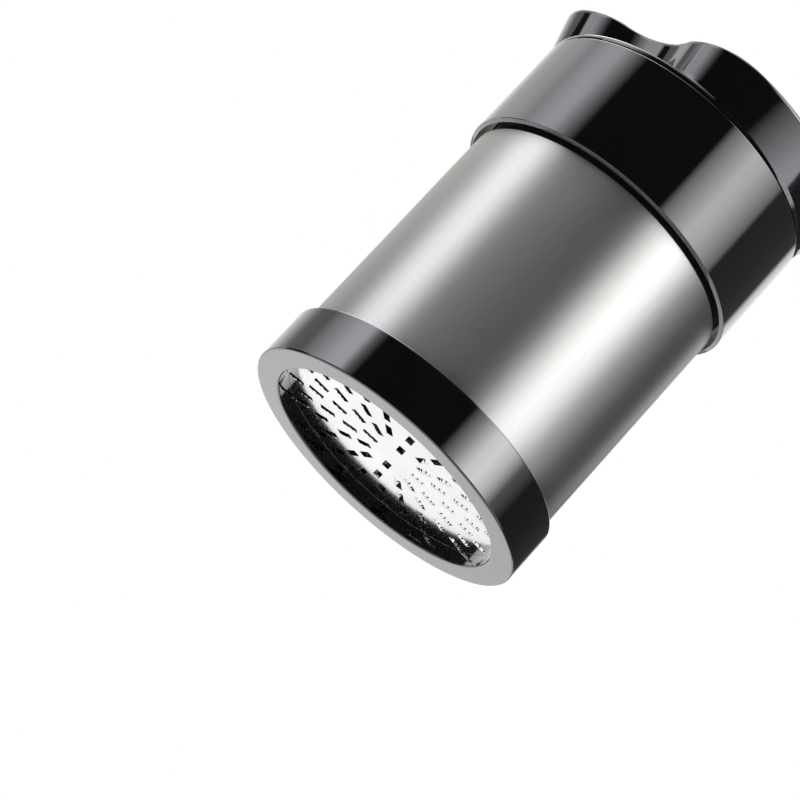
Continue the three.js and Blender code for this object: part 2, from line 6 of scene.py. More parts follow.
import bmesh
import bpy
import numpy as np
from mathutils import Matrix, Vector


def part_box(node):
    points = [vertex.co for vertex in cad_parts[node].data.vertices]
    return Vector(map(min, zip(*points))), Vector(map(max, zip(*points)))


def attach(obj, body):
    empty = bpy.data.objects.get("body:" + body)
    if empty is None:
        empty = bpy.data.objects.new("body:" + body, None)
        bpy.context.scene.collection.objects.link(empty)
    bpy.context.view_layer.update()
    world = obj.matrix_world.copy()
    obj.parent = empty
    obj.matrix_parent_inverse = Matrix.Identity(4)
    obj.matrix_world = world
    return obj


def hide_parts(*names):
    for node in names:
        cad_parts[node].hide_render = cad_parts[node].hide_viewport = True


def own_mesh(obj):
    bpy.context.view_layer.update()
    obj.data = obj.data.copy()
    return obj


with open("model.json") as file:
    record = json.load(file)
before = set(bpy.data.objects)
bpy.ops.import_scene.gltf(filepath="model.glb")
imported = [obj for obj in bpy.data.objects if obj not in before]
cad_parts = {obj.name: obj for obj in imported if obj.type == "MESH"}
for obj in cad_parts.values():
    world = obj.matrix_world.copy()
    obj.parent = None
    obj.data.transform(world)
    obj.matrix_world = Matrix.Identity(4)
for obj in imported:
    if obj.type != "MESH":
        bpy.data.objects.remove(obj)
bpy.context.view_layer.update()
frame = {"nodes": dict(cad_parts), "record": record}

MM = 0.001

# The photograph's view
CAMERA_AZIMUTH = -34.0  # degrees, 0 looks along +Y
CAMERA_ELEVATION = -18.91
CAMERA_ROLL = 42.75
CAMERA_DISTANCE = 744.0  # mm
CAMERA_TARGET = (-9.7, -0.3, 13.1)  # mm, on the middle ray
CAMERA_LENS = 147.3
CAMERA_SENSOR = 36.0

# Sizes of the ring, the sleeve and the collar, in mm
BODY_RADIUS = 38.0
RING_HEIGHT = 13.5
MOUTH_RADIUS = 31.6
DISC_RECESS = 3.8
DISC_THICKNESS = 0.5
SOCKET_RADIUS = 36.3
SOCKET_FLOOR = 7.1
SEAT_RADIUS = 33.6
SEAL_GROOVE = (9.4, 11.4, 37.1)  # bottom, top and radius
SLEEVE_WALL = 0.8
COLLAR_LIP_RADIUS = 36.9
COLLAR_BORE = 36.3
COLLAR_LIP_RISE = 0.45
WEB_BOTTOM = 88.0
WEB_TOP = 91.0
WEB_MOUTH_RADIUS = 24.0
RETAINING_GROOVE = (80.7, 83.5, 37.2)
POCKET_RADIUS = 14.6
POCKET_OFFSET = 15.4
SCREW_CIRCLE = 28.4
SCREW_ANGLES = (20, 160, 235, 305)
SCREW_HOLE = 1.45
RIB_WIDTH = 5.0
RIB_DEPTH = 2.4
RIB_ROOT = 0.6  # into the collar's wall
RIB_BOTTOM = 89.5
RIB_TOP = 98.0
RIB_TURNS = (90, 210, 330)
CUT_MARGIN = 1.0  # cutters reach past the faces that they cut

# Roundings of edges, in mm
RING_EDGE = 0.5
RING_TOP_EDGE = 0.35
COLLAR_EDGE = 0.3
COLLAR_LIP_EDGE = 0.12
WEB_EDGE = 0.4
SMALL_EDGE = 0.2
SEAT_EDGE = 0.1
CAD_EDGE = 0.12
CAD_EDGE_ANGLE = 40.0  # degrees, the gentlest edge that is rounded

# Slots of the grater disc: each is a window with a saw-toothed blade that leans over it from one side
SLOT_LENGTH = 4.3
SLOT_HALF_WIDTH = 0.95
SLOT_LIP = 0.15
SLOT_RELIEF = 0.6
PATTERN_TURN = 56.0
SLOT_RINGS = (  # radius, count, turn in degrees
    (7.3, 4, 0.0),
    (10.1, 4, 45.0),
    (13.2, 8, 22.5),
    (16.8, 8, 0.0),
    (19.9, 8, 22.5),
    (23.4, 8, -7.5),
    (23.4, 8, 7.5),
    (26.7, 8, 22.5),
    (29.2, 8, -11.5),
    (29.2, 8, 11.5),
)
TEETH_GAPS = 3
TOOTH_TIP = 0.85  # above the sheet's lower face
TOOTH_ROOT = 0.06
TOOTH_GAP_SHARE = 0.36  # of the teeth's pitch, to each side
BLADE_FOOT = 0.02
BLADE_BASE = 1.0  # across the slot
BLADE_THICKNESS = 0.25

# Spring: the solid's box gives its height and its outer radius
WIRE_RADIUS = 0.6
SPRING_TURNS = 12
CLOSED_TURNS = 1.0  # at each end

# Knob: seen from above a disc with two scoops, and rounded corners beside them
KNOB_FOOT = 105.6
KNOB_FOOT_RADIUS = 37.8
KNOB_FLARE = 3.2
KNOB_RIM = 117.9
KNOB_CROWN = 1.2
KNOB_ROUND = 0.8
KNOB_WALL = 2.2
KNOB_EDGE = 0.3
EDGE_MIDDLE = 0.3  # how far in a rounded edge's middle lies, as a share of its radius
HOLLOW_ROUND = 1.0
SCOOP_TURN = 8.0
SCOOP_HALF_SPAN = 52.0
SCOOP_FLOOR = 106.8
SCOOP_FILLET = 2.0
FILLET_FADE = 3.0  # the fillet shrinks where the scoop's floor is narrower than this
SCOOP_CIRCLE = 42.2
LOBE_INSET = 15.5
LOBE_CIRCLE = 22.3

# Fineness of the meshes
LATHE_SEGMENTS = 256
DISC_SEGMENTS = 192
POCKET_SEGMENTS = 128
SCREW_SEGMENTS = 32
CORNER_STEPS = 5
QUARTER_STEPS = 8
KNOB_STEP = 0.75  # degrees
HOLLOW_RINGS = 12
WALL_RINGS = 16
CROWN_RINGS = 12
CROWN_SPAN = (0.94, 0.06)  # radii of its first and last ring, as shares of the rim's
SPRING_STEPS = 40  # to a turn
SPRING_SIDES = 12
SHARP_ANGLE = 32.0  # degrees
DISC_SHARP_ANGLE = 20.0
WIRE_SHARP_ANGLE = 50.0
KNOB_WELD = 0.002  # mm
CAD_WELD = 0.01

# Light
PANEL_DISTANCE = 1000.0  # mm
WHITE = (1.0, 1.0, 1.0)
COOL = (0.93, 0.93, 1.0)
WARM = (1.0, 0.98, 0.95)
DARK = (0.02, WHITE)
ROW_EDGES = (-34, -6, 8, 16.5, 22, 38, 70)  # elevations where the rows of light meet, in degrees
ROOM_LIGHT = 0.85  # on rough surfaces

# Floor
FLOOR_HALF_WIDTH = 900.0  # mm
FLOOR_DROP = 0.2
FLOOR_FADE = (0.12, 0.4)  # metres from the middle
FLOOR_COLOUR = (0.95, 0.95, 0.95, 1)

# Finishes
NOISE_SPAN = (0.3, 0.7)  # where most of a noise's values lie


# Meshes


def shade(mesh, sharp_angle):
    """Shades a mesh smooth, but for edges sharper than the angle in degrees."""
    mesh.shade_smooth()
    mesh.set_sharp_from_angle(angle=math.radians(sharp_angle))


def add_mesh(name, points, faces, sharp_angle=SHARP_ANGLE):
    """An object from points in mm, smooth but for its sharp edges."""
    mesh = bpy.data.meshes.new(name)
    mesh.from_pydata([tuple(MM * x for x in p) for p in points], [], faces)
    mesh.validate()
    shade(mesh, sharp_angle)
    obj = bpy.data.objects.new(name, mesh)
    bpy.context.scene.collection.objects.link(obj)
    return obj


def weighted(obj):
    """Flat faces stay flat beside their rounded edges."""
    modifier = obj.modifiers.new("weighted normals", "WEIGHTED_NORMAL")
    modifier.keep_sharp = True
    modifier.weight = 60
    return obj


def bake_modifiers(obj):
    """The object's mesh becomes what its modifiers make of it."""
    depsgraph = bpy.context.evaluated_depsgraph_get()
    mesh = bpy.data.meshes.new_from_object(obj.evaluated_get(depsgraph))
    obj.modifiers.clear()
    obj.data = mesh
    return obj


def combine(obj, tool, operation):
    """Cuts tool out of obj, or joins it on, and deletes the tool."""
    modifier = obj.modifiers.new("boolean", "BOOLEAN")
    modifier.operation = operation
    modifier.solver = "EXACT"
    modifier.object = tool
    bake_modifiers(obj)
    bpy.data.objects.remove(tool)
    return obj


def rounded(outline):
    """A closed outline of (radius, height, rounding) points with its corners rounded."""
    count = len(outline)
    points = []
    for i, (radius, height, rounding) in enumerate(outline):
        corner = np.array((radius, height))
        before = np.array(outline[i - 1][:2]) - corner
        after = np.array(outline[(i + 1) % count][:2]) - corner
        if rounding <= 0:
            points.append(tuple(corner))
            continue
        before = before / np.linalg.norm(before)
        after = after / np.linalg.norm(after)
        half = math.acos(np.clip(before @ after, -1, 1)) / 2
        middle = (before + after) / np.linalg.norm(before + after)
        centre = corner + middle * rounding / math.sin(half)
        start = corner + before * rounding / math.tan(half) - centre
        end = corner + after * rounding / math.tan(half) - centre
        sweep = math.pi - 2 * half
        for step in range(CORNER_STEPS + 1):
            share = step / CORNER_STEPS
            a = math.sin((1 - share) * sweep) / math.sin(sweep)
            b = math.sin(share * sweep) / math.sin(sweep)
            points.append(tuple(centre + a * start + b * end))
    return points


def lathe_mesh(outline, segments, centre=(0.0, 0.0)):
    """Points and faces of an anticlockwise outline turned round the vertical line through centre."""
    profile = rounded(outline)
    on_axis = profile[0][0] < 1e-6
    points = []
    rings = []
    for radius, height in profile:
        if radius < 1e-6:
            rings.append([len(points)] * segments)
            points.append((centre[0], centre[1], height))
            continue
        rings.append(list(range(len(points), len(points) + segments)))
        for i in range(segments):
            angle = 2 * math.pi * i / segments
            points.append(
                (centre[0] + radius * math.cos(angle), centre[1] + radius * math.sin(angle), height)
            )
    faces = []
    last = len(rings) - 1 if on_axis else len(rings)
    for j in range(last):
        low, high = rings[j], rings[(j + 1) % len(rings)]
        for i in range(segments):
            k = (i + 1) % segments
            corners = [low[i], low[k], high[k], high[i]]
            face = list(dict.fromkeys(corners))
            if len(face) > 2:
                faces.append(face)
    return points, faces


def rod_outline(radius, bottom, top):
    return [(0, bottom, 0), (radius, bottom, 0), (radius, top, 0), (0, top, 0)]


def turned_about(point, degrees):
    angle = math.radians(degrees)
    x, y, z = point
    return (
        x * math.cos(angle) - y * math.sin(angle),
        x * math.sin(angle) + y * math.cos(angle),
        z,
    )


def prism(polygon, low, high):
    """Points and faces over an anticlockwise polygon; low and high give the height at a corner."""
    count = len(polygon)
    points = [(x, y, low(x, y)) for x, y in polygon] + [(x, y, high(x, y)) for x, y in polygon]
    faces = [list(range(count - 1, -1, -1)), list(range(count, 2 * count))]
    for i in range(count):
        k = (i + 1) % count
        faces.append([i, k, count + k, count + i])
    return points, faces


def gathered(parts):
    """Several point and face lists as one."""
    points = []
    faces = []
    for part_points, part_faces in parts:
        start = len(points)
        points.extend(part_points)
        faces.extend([start + i for i in face] for face in part_faces)
    return points, faces


# Pieces


def base_ring():
    groove_bottom, groove_top, groove_radius = SEAL_GROOVE
    outline = [
        (MOUTH_RADIUS, 0, RING_EDGE),
        (BODY_RADIUS, 0, RING_EDGE),
        (BODY_RADIUS, RING_HEIGHT, RING_TOP_EDGE),
        (SOCKET_RADIUS, RING_HEIGHT, SMALL_EDGE),
        (SOCKET_RADIUS, groove_top, 0),
        (groove_radius, groove_top, 0),
        (groove_radius, groove_bottom, 0),
        (SOCKET_RADIUS, groove_bottom, 0),
        (SOCKET_RADIUS, SOCKET_FLOOR, 0),
        (SEAT_RADIUS, SOCKET_FLOOR, SMALL_EDGE),
        (SEAT_RADIUS, DISC_RECESS, 0),
        (MOUTH_RADIUS, DISC_RECESS, SEAT_EDGE),
    ]
    return weighted(add_mesh("base_ring_moulding", *lathe_mesh(outline, LATHE_SEGMENTS)))


def steel_sleeve():
    low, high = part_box("steel_sleeve")
    radius, bottom, top = high.x / MM, low.z / MM, high.z / MM
    outline = [
        (radius - SLEEVE_WALL, bottom, SMALL_EDGE),
        (radius, bottom, SMALL_EDGE),
        (radius, top, SMALL_EDGE),
        (radius - SLEEVE_WALL, top, SMALL_EDGE),
    ]
    return weighted(add_mesh("steel_body_tube", *lathe_mesh(outline, LATHE_SEGMENTS)))


def web_cutter(radius, segments, centre):
    """A rod that cuts a hole through the collar's web."""
    outline = rod_outline(radius, WEB_BOTTOM - CUT_MARGIN, WEB_TOP + CUT_MARGIN)
    return lathe_mesh(outline, segments, centre)


def drive_rib(turn):
    """A rib inside the collar that the knob's skirt slides over."""
    inner, outer = COLLAR_BORE - RIB_DEPTH, COLLAR_BORE + RIB_ROOT
    half = RIB_WIDTH / 2
    corners = [(inner, -half), (outer, -half), (outer, half), (inner, half)]
    points, faces = prism(corners, lambda x, y: RIB_BOTTOM, lambda x, y: RIB_TOP)
    return [turned_about(p, turn) for p in points], faces


def turning_collar():
    low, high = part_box("turning_collar")
    bottom, top = low.z / MM, high.z / MM
    groove_bottom, groove_top, groove_radius = RETAINING_GROOVE
    outline = [
        (COLLAR_LIP_RADIUS, bottom, COLLAR_LIP_EDGE),
        (BODY_RADIUS, bottom + COLLAR_LIP_RISE, SMALL_EDGE),
        (BODY_RADIUS, top, COLLAR_EDGE),
        (COLLAR_BORE, top, SMALL_EDGE),
        (COLLAR_BORE, WEB_TOP, WEB_EDGE),
        (WEB_MOUTH_RADIUS, WEB_TOP, WEB_EDGE),
        (WEB_MOUTH_RADIUS, WEB_BOTTOM, COLLAR_EDGE),
        (COLLAR_LIP_RADIUS, WEB_BOTTOM, 0),
        (COLLAR_LIP_RADIUS, groove_top, 0),
        (groove_radius, groove_top, 0),
        (groove_radius, groove_bottom, 0),
        (COLLAR_LIP_RADIUS, groove_bottom, 0),
    ]
    collar = add_mesh("turning_collar_moulding", *lathe_mesh(outline, LATHE_SEGMENTS))
    cutters = [web_cutter(POCKET_RADIUS, POCKET_SEGMENTS, (0, POCKET_OFFSET))]
    for angle in SCREW_ANGLES:
        place = turned_about((SCREW_CIRCLE, 0, 0), angle)[:2]
        cutters.append(web_cutter(SCREW_HOLE, SCREW_SEGMENTS, place))
    combine(collar, add_mesh("web_cutters", *gathered(cutters)), "DIFFERENCE")
    ribs = [drive_rib(turn) for turn in RIB_TURNS]
    combine(collar, add_mesh("drive_ribs", *gathered(ribs)), "UNION")
    shade(collar.data, SHARP_ANGLE)
    return weighted(collar)


def slot_places():
    for radius, count, turn in SLOT_RINGS:
        for i in range(count):
            yield radius, PATTERN_TURN + turn + 360 * i / count


def blade():
    """The saw-toothed blade of one slot: x along the slot, y across it, z above the sheet's lower face."""
    half = SLOT_LENGTH / 2
    pitch = SLOT_LENGTH / TEETH_GAPS
    outline = [(-half, BLADE_FOOT), (half, BLADE_FOOT), (half, TOOTH_TIP)]
    for gap in range(TEETH_GAPS):
        middle = half - (gap + 0.5) * pitch
        reach = TOOTH_GAP_SHARE * pitch
        outline += [(middle + reach, TOOTH_TIP), (middle, TOOTH_ROOT), (middle - reach, TOOTH_TIP)]
    outline.append((-half, TOOTH_TIP))
    points, faces = prism(
        outline, lambda x, z: BLADE_BASE - z, lambda x, z: BLADE_BASE + BLADE_THICKNESS - z
    )
    return [(x, y, z) for x, z, y in points], [face[::-1] for face in faces]


def slot_block(low_y, high_y, end, low_z, high_z):
    corners = [(-end, low_y), (end, low_y), (end, high_y), (-end, high_y)]
    return prism(corners, lambda x, y: low_z, lambda x, y: high_z)


def grater_disc():
    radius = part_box("grater_disc")[1].x / MM
    outline = rod_outline(radius, 0, DISC_THICKNESS)
    disc = add_mesh("grater_disc_sheet", *lathe_mesh(outline, DISC_SEGMENTS))
    half = SLOT_LENGTH / 2
    long_half = half + SLOT_RELIEF / 2
    wide = SLOT_HALF_WIDTH + SLOT_RELIEF
    tools = {
        "slot_windows": slot_block(-SLOT_HALF_WIDTH, SLOT_HALF_WIDTH, half, -CUT_MARGIN, CUT_MARGIN),
        "slot_reliefs": slot_block(-wide, SLOT_HALF_WIDTH, long_half, SLOT_LIP, CUT_MARGIN),
        "slot_blades": blade(),
    }
    for name, (points, faces) in tools.items():
        placed = [
            ([turned_about((x + ring_radius, y, z), angle) for x, y, z in points], faces)
            for ring_radius, angle in slot_places()
        ]
        operation = "UNION" if name == "slot_blades" else "DIFFERENCE"
        combine(disc, add_mesh(name, *gathered(placed)), operation)
    disc.data.transform(Matrix.Translation((0, 0, DISC_RECESS * MM)))
    shade(disc.data, DISC_SHARP_ANGLE)
    return disc


def pressure_spring():
    """One unbroken round wire, with a closed turn at each end."""
    low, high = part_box("pressure_spring")
    radius = (high.x - low.x) / 2 / MM - WIRE_RADIUS
    bottom = low.z / MM + WIRE_RADIUS
    top = high.z / MM - WIRE_RADIUS
    closed_height = 2 * WIRE_RADIUS * CLOSED_TURNS
    free_height = top - bottom - 2 * closed_height
    points = []
    steps = SPRING_TURNS * SPRING_STEPS
    for i in range(steps + 1):
        turn = i / SPRING_STEPS
        free = np.clip((turn - CLOSED_TURNS) / (SPRING_TURNS - 2 * CLOSED_TURNS), 0, 1)
        closed = min(turn, CLOSED_TURNS) + max(turn - SPRING_TURNS + CLOSED_TURNS, 0)
        height = bottom + 2 * WIRE_RADIUS * closed + free_height * free
        angle = 2 * math.pi * turn
        for j in range(SPRING_SIDES):
            around = 2 * math.pi * j / SPRING_SIDES
            out = radius + WIRE_RADIUS * math.cos(around)
            points.append((
                out * math.cos(angle),
                out * math.sin(angle) + POCKET_OFFSET,
                height + WIRE_RADIUS * math.sin(around),
            ))
    faces = []
    for i in range(steps):
        for j in range(SPRING_SIDES):
            k = (j + 1) % SPRING_SIDES
            a, b = i * SPRING_SIDES + j, i * SPRING_SIDES + k
            faces.append([a + SPRING_SIDES, b + SPRING_SIDES, b, a])
    last = steps * SPRING_SIDES
    faces.append(list(range(SPRING_SIDES)))
    faces.append(list(range(last + SPRING_SIDES - 1, last - 1, -1)))
    return add_mesh("pressure_spring_wire", points, faces, WIRE_SHARP_ANGLE)


def knob_plan(angles, inset):
    """The radius of the knob's foot at angles in degrees."""
    from_scoop = np.abs((angles - SCOOP_TURN + 90) % 180 - 90)
    half_span = math.radians(SCOOP_HALF_SPAN)
    lobe_x, lobe_y = LOBE_CIRCLE * math.cos(half_span), LOBE_CIRCLE * math.sin(half_span)
    scoop_radius = math.hypot(SCOOP_CIRCLE - lobe_x, lobe_y) - LOBE_INSET + inset
    slope = math.atan2(lobe_y, SCOOP_CIRCLE - lobe_x)
    touch = math.degrees(math.atan2(
        scoop_radius * math.sin(slope), SCOOP_CIRCLE - scoop_radius * math.cos(slope)
    ))
    lobe_turn = np.radians(np.clip(SCOOP_HALF_SPAN - from_scoop, 0, SCOOP_HALF_SPAN - touch))
    corner = LOBE_CIRCLE * np.cos(lobe_turn)
    corner += np.sqrt((LOBE_INSET - inset) ** 2 - (LOBE_CIRCLE * np.sin(lobe_turn)) ** 2)
    scoop_turn = np.radians(np.minimum(from_scoop, touch))
    scoop = SCOOP_CIRCLE * np.cos(scoop_turn)
    scoop -= np.sqrt(scoop_radius ** 2 - (SCOOP_CIRCLE * np.sin(scoop_turn)) ** 2)
    return np.where(from_scoop < touch, scoop, corner)


def flare_at(height):
    share = (height - KNOB_FOOT) / (KNOB_RIM - KNOB_ROUND - KNOB_FOOT)
    return KNOB_FLARE * min(share, 1)


def quarter_turn(first):
    """The angles of a rounding's rings in radians, from the first step to a right angle."""
    return [math.radians(90 * i / QUARTER_STEPS) for i in range(first, QUARTER_STEPS + 1)]


def knob_levels(angles):
    """Rings of (radii, height), from the hollow's top down to the foot and up the outside."""
    inner = knob_plan(angles, KNOB_WALL)
    outer = knob_plan(angles, 0)
    hollow_top = KNOB_RIM - KNOB_WALL
    levels = [(inner + flare_at(hollow_top) - HOLLOW_ROUND, hollow_top)]
    for height in np.linspace(hollow_top - HOLLOW_ROUND, KNOB_FOOT, HOLLOW_RINGS):
        levels.append((inner + flare_at(height), height))
    middle = EDGE_MIDDLE * KNOB_EDGE
    foot_edge = [(KNOB_EDGE, 0.0), (middle, middle), (0.0, KNOB_EDGE)]
    for inward, rise in foot_edge:
        levels.append((np.full_like(outer, KNOB_FOOT_RADIUS - inward), KNOB_FOOT + rise))
    for inward, drop in foot_edge[::-1]:
        height = SCOOP_FLOOR - drop
        levels.append((np.maximum(KNOB_FOOT_RADIUS - inward, outer + flare_at(height)), height))
    ledge = levels[-1][0]
    for turn in quarter_turn(0):
        height = SCOOP_FLOOR + SCOOP_FILLET * (1 - math.cos(turn))
        wall = outer + flare_at(height)
        fade = np.clip((ledge - wall) / FILLET_FADE, 0, 1)
        levels.append((wall + SCOOP_FILLET * (1 - math.sin(turn)) * fade, height))
    wall_heights = np.linspace(SCOOP_FLOOR + SCOOP_FILLET, KNOB_RIM - KNOB_ROUND, WALL_RINGS)
    for height in wall_heights[1:]:
        levels.append((outer + flare_at(height), height))
    for turn in quarter_turn(1):
        rim = outer + KNOB_FLARE - KNOB_ROUND * (1 - math.cos(turn))
        levels.append((rim, KNOB_RIM - KNOB_ROUND * (1 - math.sin(turn))))
    for scale in np.linspace(*CROWN_SPAN, CROWN_RINGS):
        levels.append((rim * scale, KNOB_RIM + KNOB_CROWN * (1 - scale ** 2)))
    return levels


def knob():
    angles = np.arange(0, 360, KNOB_STEP)
    count = len(angles)
    turns = np.radians(angles)
    levels = knob_levels(angles)
    points = [(0, 0, levels[0][1])]
    for radii, height in levels:
        xs = (radii * np.cos(turns)).tolist()
        ys = (radii * np.sin(turns)).tolist()
        points += zip(xs, ys, [height] * count)
    points.append((0, 0, KNOB_RIM + KNOB_CROWN))
    faces = []
    last = 1 + (len(levels) - 1) * count
    for i in range(count):
        k = (i + 1) % count
        faces.append([0, 1 + k, 1 + i])
        faces.append([last + i, last + k, len(points) - 1])
        for start in range(1, last, count):
            faces.append([start + i, start + k, start + count + k, start + count + i])
    obj = add_mesh("turning_knob_moulding", points, faces)
    mesh = bmesh.new()
    mesh.from_mesh(obj.data)
    bmesh.ops.remove_doubles(mesh, verts=mesh.verts, dist=KNOB_WELD * MM)
    mesh.to_mesh(obj.data)
    mesh.free()
    return weighted(obj)


# Materials


def nodes_of(name):
    material = bpy.data.materials.new(name)
    material.use_nodes = True
    tree = material.node_tree
    return material, tree, tree.nodes["Principled BSDF"]


def grain(tree, scale, detail=3.0):
    """A noise whose grain is scale (x, y, z) to the metre."""
    place = tree.nodes.new("ShaderNodeTexCoord")
    stretch = tree.nodes.new("ShaderNodeMapping")
    stretch.inputs["Scale"].default_value = scale
    noise = tree.nodes.new("ShaderNodeTexNoise")
    noise.inputs["Scale"].default_value = 1.0
    noise.inputs["Detail"].default_value = detail
    tree.links.new(place.outputs["Object"], stretch.inputs["Vector"])
    tree.links.new(stretch.outputs["Vector"], noise.inputs["Vector"])
    return noise.outputs["Fac"]


def spread(tree, value, low, high):
    """The noise spread over a range."""
    node = tree.nodes.new("ShaderNodeMapRange")
    node.inputs["From Min"].default_value = NOISE_SPAN[0]
    node.inputs["From Max"].default_value = NOISE_SPAN[1]
    node.inputs["To Min"].default_value = low
    node.inputs["To Max"].default_value = high
    tree.links.new(value, node.inputs["Value"])
    return node.outputs["Result"]


def shades(tree, value, dark, light):
    """A colour between two, by the noise."""
    node = tree.nodes.new("ShaderNodeValToRGB")
    for element, position, colour in zip(node.color_ramp.elements, NOISE_SPAN, (dark, light)):
        element.position = position
        element.color = (*colour, 1)
    tree.links.new(value, node.inputs["Fac"])
    return node.outputs["Color"]


def bumped(tree, value, distance, strength):
    node = tree.nodes.new("ShaderNodeBump")
    node.inputs["Distance"].default_value = distance
    node.inputs["Strength"].default_value = strength
    tree.links.new(value, node.inputs["Height"])
    return node.outputs["Normal"]


def textured(tree, shader, colour, roughness, normal):
    """Links a finish's varying colour, roughness and relief to its shader."""
    tree.links.new(colour, shader.inputs["Base Color"])
    tree.links.new(roughness, shader.inputs["Roughness"])
    tree.links.new(normal, shader.inputs["Normal"])


def black_gloss():
    """Polished black moulding."""
    material, tree, shader = nodes_of("black_gloss")
    fine = grain(tree, (900, 900, 900))
    broad = grain(tree, (60, 60, 60), 2.0)
    textured(
        tree, shader,
        shades(tree, broad, (0.0025, 0.0025, 0.003), (0.0035, 0.0035, 0.004)),
        spread(tree, fine, 0.05, 0.09),
        bumped(tree, broad, 0.00002, 0.25),
    )
    shader.inputs["IOR"].default_value = 1.55
    shader.inputs["Coat Weight"].default_value = 1.0
    shader.inputs["Coat Roughness"].default_value = 0.03
    shader.inputs["Coat IOR"].default_value = 1.85
    return material


def satin_plastic(name, dark, light, roughness):
    """Moulded plastic with a fine spark-eroded grain."""
    material, tree, shader = nodes_of(name)
    fine = grain(tree, (2200, 2200, 2200), 2.0)
    broad = grain(tree, (120, 120, 120))
    textured(
        tree, shader,
        shades(tree, broad, dark, light),
        spread(tree, fine, roughness - 0.06, roughness + 0.06),
        bumped(tree, fine, 0.00003, 0.5),
    )
    return material


def brushed_steel():
    """Finely brushed steel, whose reflections spread along the tube more than round it."""
    material, tree, shader = nodes_of("brushed_steel")
    lines = grain(tree, (4200, 4200, 160), 4.0)
    broad = grain(tree, (70, 70, 22), 2.0)
    textured(
        tree, shader,
        shades(tree, lines, (0.57, 0.561, 0.55), (0.63, 0.621, 0.608)),
        spread(tree, broad, 0.39, 0.41),
        bumped(tree, lines, 0.000002, 0.3),
    )
    shader.inputs["Metallic"].default_value = 1.0
    shader.inputs["Anisotropic"].default_value = 0.75
    shader.inputs["Anisotropic Rotation"].default_value = 0.25
    tangent = tree.nodes.new("ShaderNodeTangent")
    tangent.direction_type = "RADIAL"
    tangent.axis = "Z"
    tree.links.new(tangent.outputs["Tangent"], shader.inputs["Tangent"])
    return material


def rolled_metal(name, dark, light, roughness, scale):
    material, tree, shader = nodes_of(name)
    fine = grain(tree, scale)
    broad = grain(tree, (90, 90, 90), 2.0)
    textured(
        tree, shader,
        shades(tree, broad, dark, light),
        spread(tree, fine, roughness - 0.04, roughness + 0.04),
        bumped(tree, fine, 0.000006, 0.5),
    )
    shader.inputs["Metallic"].default_value = 1.0
    return material


def black_rubber():
    material, tree, shader = nodes_of("black_rubber")
    fine = grain(tree, (1500, 1500, 1500))
    textured(
        tree, shader,
        shades(tree, fine, (0.012, 0.012, 0.012), (0.03, 0.03, 0.03)),
        spread(tree, fine, 0.6, 0.85),
        bumped(tree, fine, 0.00004, 0.5),
    )
    return material


def looks():
    """The material of each slot in the record."""
    return {
        "black_plastic": black_gloss(),
        "dark_plastic": satin_plastic(
            "dark_plastic", (0.022, 0.022, 0.023), (0.032, 0.032, 0.034), 0.45),
        "pale_plastic": satin_plastic(
            "pale_plastic", (0.66, 0.65, 0.60), (0.74, 0.73, 0.68), 0.42),
        "brushed_steel": brushed_steel(),
        "bright_steel": rolled_metal(
            "bright_steel", (0.80, 0.80, 0.80), (0.88, 0.88, 0.88), 0.13, (1800, 1800, 1800)),
        "spring_steel": rolled_metal(
            "spring_steel", (0.50, 0.50, 0.51), (0.60, 0.60, 0.61), 0.26, (2500, 2500, 400)),
        "brass": rolled_metal(
            "brass", (0.60, 0.43, 0.17), (0.70, 0.51, 0.21), 0.24, (400, 400, 3000)),
        "rubber": black_rubber(),
    }


def dress(obj, slot, body, *replaced):
    """Gives a new piece its finish, its body and the nodes that it stands for."""
    obj.data.materials.clear()
    obj.data.materials.append(finishes[slot])
    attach(obj, body)
    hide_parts(*replaced)
    return obj


def smoothing_group(name, angle):
    """Welds a mesh and shades it smooth, but for edges sharper than the angle."""
    group = bpy.data.node_groups.new(name, "GeometryNodeTree")
    group.interface.new_socket("Geometry", in_out="INPUT", socket_type="NodeSocketGeometry")
    group.interface.new_socket("Geometry", in_out="OUTPUT", socket_type="NodeSocketGeometry")
    nodes, links = group.nodes, group.links
    start = nodes.new("NodeGroupInput")
    end = nodes.new("NodeGroupOutput")
    weld = nodes.new("GeometryNodeMergeByDistance")
    weld.inputs["Distance"].default_value = CAD_WELD * MM
    smooth = nodes.new("GeometryNodeSetShadeSmooth")
    sharpen = nodes.new("GeometryNodeSetShadeSmooth")
    sharpen.domain = "EDGE"
    bend = nodes.new("GeometryNodeInputMeshEdgeAngle")
    gentle = nodes.new("FunctionNodeCompare")
    gentle.operation = "LESS_EQUAL"
    gentle.inputs["B"].default_value = angle
    links.new(start.outputs[0], weld.inputs["Geometry"])
    links.new(weld.outputs["Geometry"], smooth.inputs["Geometry"])
    links.new(smooth.outputs["Geometry"], sharpen.inputs["Geometry"])
    links.new(bend.outputs["Unsigned Angle"], gentle.inputs["A"])
    links.new(gentle.outputs["Result"], sharpen.inputs["Shade Smooth"])
    links.new(sharpen.outputs["Geometry"], end.inputs[0])
    return group


def finish_cad_node(obj, slot, group):
    """Gives a solid of the frame its finish, smooth shading and rounded edges."""
    obj.data.materials.clear()
    obj.data.materials.append(finishes[slot])
    modifier = obj.modifiers.new("smooth by angle", "NODES")
    modifier.node_group = group
    edge = obj.modifiers.new("rounded edges", "BEVEL")
    edge.width = CAD_EDGE * MM
    edge.segments = 2
    edge.limit_method = "ANGLE"
    edge.angle_limit = math.radians(CAD_EDGE_ANGLE)
    edge.harden_normals = True
    edge.use_clamp_overlap = True


# Stage


def blank_material(name):
    """A material that holds nothing but its output node."""
    material = bpy.data.materials.new(name)
    material.use_nodes = True
    tree = material.node_tree
    tree.nodes.clear()
    return material, tree, tree.nodes.new("ShaderNodeOutputMaterial")


